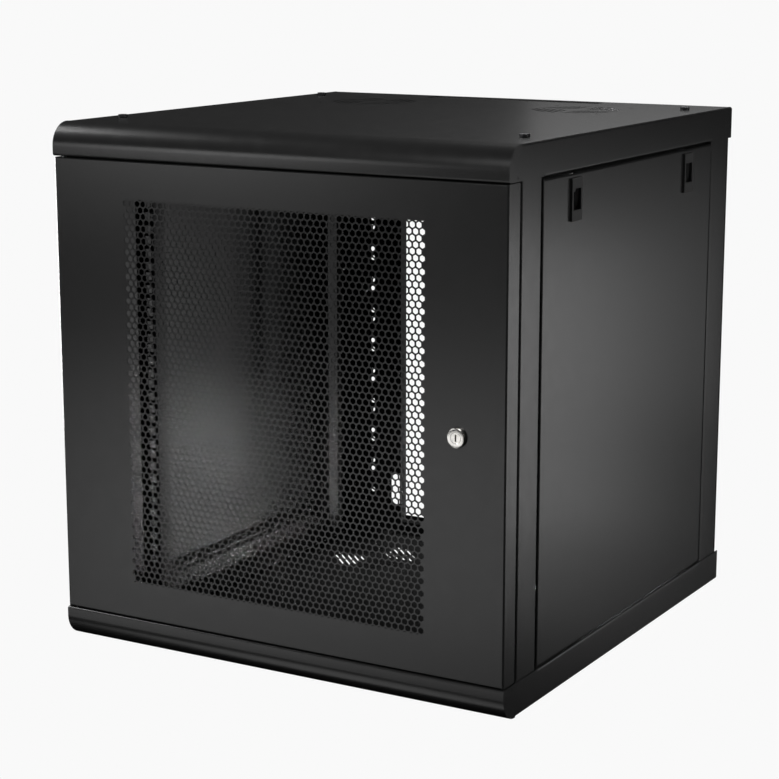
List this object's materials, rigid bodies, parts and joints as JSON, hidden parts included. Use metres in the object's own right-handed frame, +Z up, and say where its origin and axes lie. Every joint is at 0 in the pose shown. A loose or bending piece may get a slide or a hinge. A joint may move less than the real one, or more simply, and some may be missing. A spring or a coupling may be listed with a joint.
{
  "type": "network server rack cabinet",
  "caption": "Wall-mount 19-inch network cabinet with a perforated lockable front door, lift-off side panels, adjustable rack rails, fan grilles and an open rear panel.",
  "frame": {"origin": "centre of the underside, midway between the door's face and the rear edge", "axes": "+X to the cabinet's right seen from the front, +Y to the back, +Z up; the door faces -Y"},
  "size_m": [0.6056, 0.634, 0.6372],
  "materials": {
    "panel_coat": "satin black powder coat with a fine texture",
    "frame_coat": "satin black powder coat",
    "rail_coat": "satin black powder coat",
    "latch_plastic": "black moulded plastic, fine grain",
    "black_fastener": "black oxide steel",
    "zinc_steel": "bright zinc plate",
    "lock_nickel": "satin nickel plate"
  },
  "bodies": {
    "frame": {"top_cover": "panel_coat", "bottom_tray": "panel_coat", "rear_panel": "panel_coat", "cable_cover_top": "frame_coat", "cable_cover_bottom": "frame_coat", "post_front_left": "frame_coat", "post_front_right": "frame_coat", "post_rear_left": "frame_coat", "post_rear_right": "frame_coat", "beam_lower_left": "frame_coat", "beam_lower_right": "frame_coat", "beam_upper_left": "frame_coat", "beam_upper_right": "frame_coat", "cover_bolt_front_left": "black_fastener", "cover_bolt_front_right": "black_fastener", "cover_bolt_rear_left": "black_fastener", "cover_bolt_rear_right": "black_fastener", "tray_bolt_front_left": "black_fastener", "tray_bolt_front_right": "black_fastener", "tray_bolt_rear_left": "black_fastener", "tray_bolt_rear_right": "black_fastener", "hinge_pin_lower": "zinc_steel"},
    "door": {"door": "panel_coat", "hinge_spring": "zinc_steel", "lock_housing": "lock_nickel", "lock_nut": "zinc_steel"},
    "hinge_pin": {"hinge_pin_upper": "zinc_steel"},
    "lock_barrel": {"lock_cylinder": "lock_nickel", "lock_cam": "zinc_steel", "cam_screw": "zinc_steel"},
    "side_panel_left": {"side_panel_left": "panel_coat", "latch_housing_front_left": "latch_plastic", "latch_housing_rear_left": "latch_plastic"},
    "latch_front_left": {"latch_slider_front_left": "latch_plastic"},
    "latch_rear_left": {"latch_slider_rear_left": "latch_plastic"},
    "side_panel_right": {"side_panel_right": "panel_coat", "latch_housing_front_right": "latch_plastic", "latch_housing_rear_right": "latch_plastic"},
    "latch_front_right": {"latch_slider_front_right": "latch_plastic"},
    "latch_rear_right": {"latch_slider_rear_right": "latch_plastic"},
    "rail_front_left": {"rack_rail_front_left": "rail_coat", "rail_bolt_lower_front_left": "zinc_steel", "rail_bolt_upper_front_left": "zinc_steel"},
    "rail_front_right": {"rack_rail_front_right": "rail_coat", "rail_bolt_lower_front_right": "zinc_steel", "rail_bolt_upper_front_right": "zinc_steel"},
    "rail_rear_left": {"rack_rail_rear_left": "rail_coat", "rail_bolt_lower_rear_left": "zinc_steel", "rail_bolt_upper_rear_left": "zinc_steel"},
    "rail_rear_right": {"rack_rail_rear_right": "rail_coat", "rail_bolt_lower_rear_right": "zinc_steel", "rail_bolt_upper_rear_right": "zinc_steel"}
  },
  "joints": [
    {"name": "door_hinge", "type": "hinge", "parent": "frame", "child": "door", "pos_m": [-0.292, -0.307, 0.3165], "axis": [0, 0, -1], "range_deg": [0, 180]},
    {"name": "hinge_pin_retract", "type": "slide", "parent": "door", "child": "hinge_pin", "axis": [0, 0, -1], "range_m": [0, 0.006], "deforming": ["hinge_spring"]},
    {"name": "lock_turn", "type": "hinge", "parent": "door", "child": "lock_barrel", "pos_m": [0.241, -0.315, 0.3165], "axis": [0, -1, 0], "range_deg": [0, 90]},
    {"name": "side_panel_left_tilt", "type": "hinge", "parent": "frame", "child": "side_panel_left", "pos_m": [-0.3, 0.0085, 0.041], "axis": [0, -1, 0], "range_deg": [0, 25]},
    {"name": "latch_front_left_slide", "type": "slide", "parent": "side_panel_left", "child": "latch_front_left", "axis": [0, 0, 1], "range_m": [0, 0.007]},
    {"name": "latch_rear_left_slide", "type": "slide", "parent": "side_panel_left", "child": "latch_rear_left", "axis": [0, 0, 1], "range_m": [0, 0.007]},
    {"name": "side_panel_right_tilt", "type": "hinge", "parent": "frame", "child": "side_panel_right", "pos_m": [0.3, 0.0085, 0.041], "axis": [0, 1, 0], "range_deg": [0, 25]},
    {"name": "latch_front_right_slide", "type": "slide", "parent": "side_panel_right", "child": "latch_front_right", "axis": [0, 0, 1], "range_m": [0, 0.007]},
    {"name": "latch_rear_right_slide", "type": "slide", "parent": "side_panel_right", "child": "latch_rear_right", "axis": [0, 0, 1], "range_m": [0, 0.007]},
    {"name": "rail_front_left_depth", "type": "slide", "parent": "frame", "child": "rail_front_left", "axis": [0, 1, 0], "range_m": [-0.005, 0.09]},
    {"name": "rail_front_right_depth", "type": "slide", "parent": "frame", "child": "rail_front_right", "axis": [0, 1, 0], "range_m": [-0.005, 0.09]},
    {"name": "rail_rear_left_depth", "type": "slide", "parent": "frame", "child": "rail_rear_left", "axis": [0, 1, 0], "range_m": [-0.08, 0.04]},
    {"name": "rail_rear_right_depth", "type": "slide", "parent": "frame", "child": "rail_rear_right", "axis": [0, 1, 0], "range_m": [-0.08, 0.04]}
  ]
}
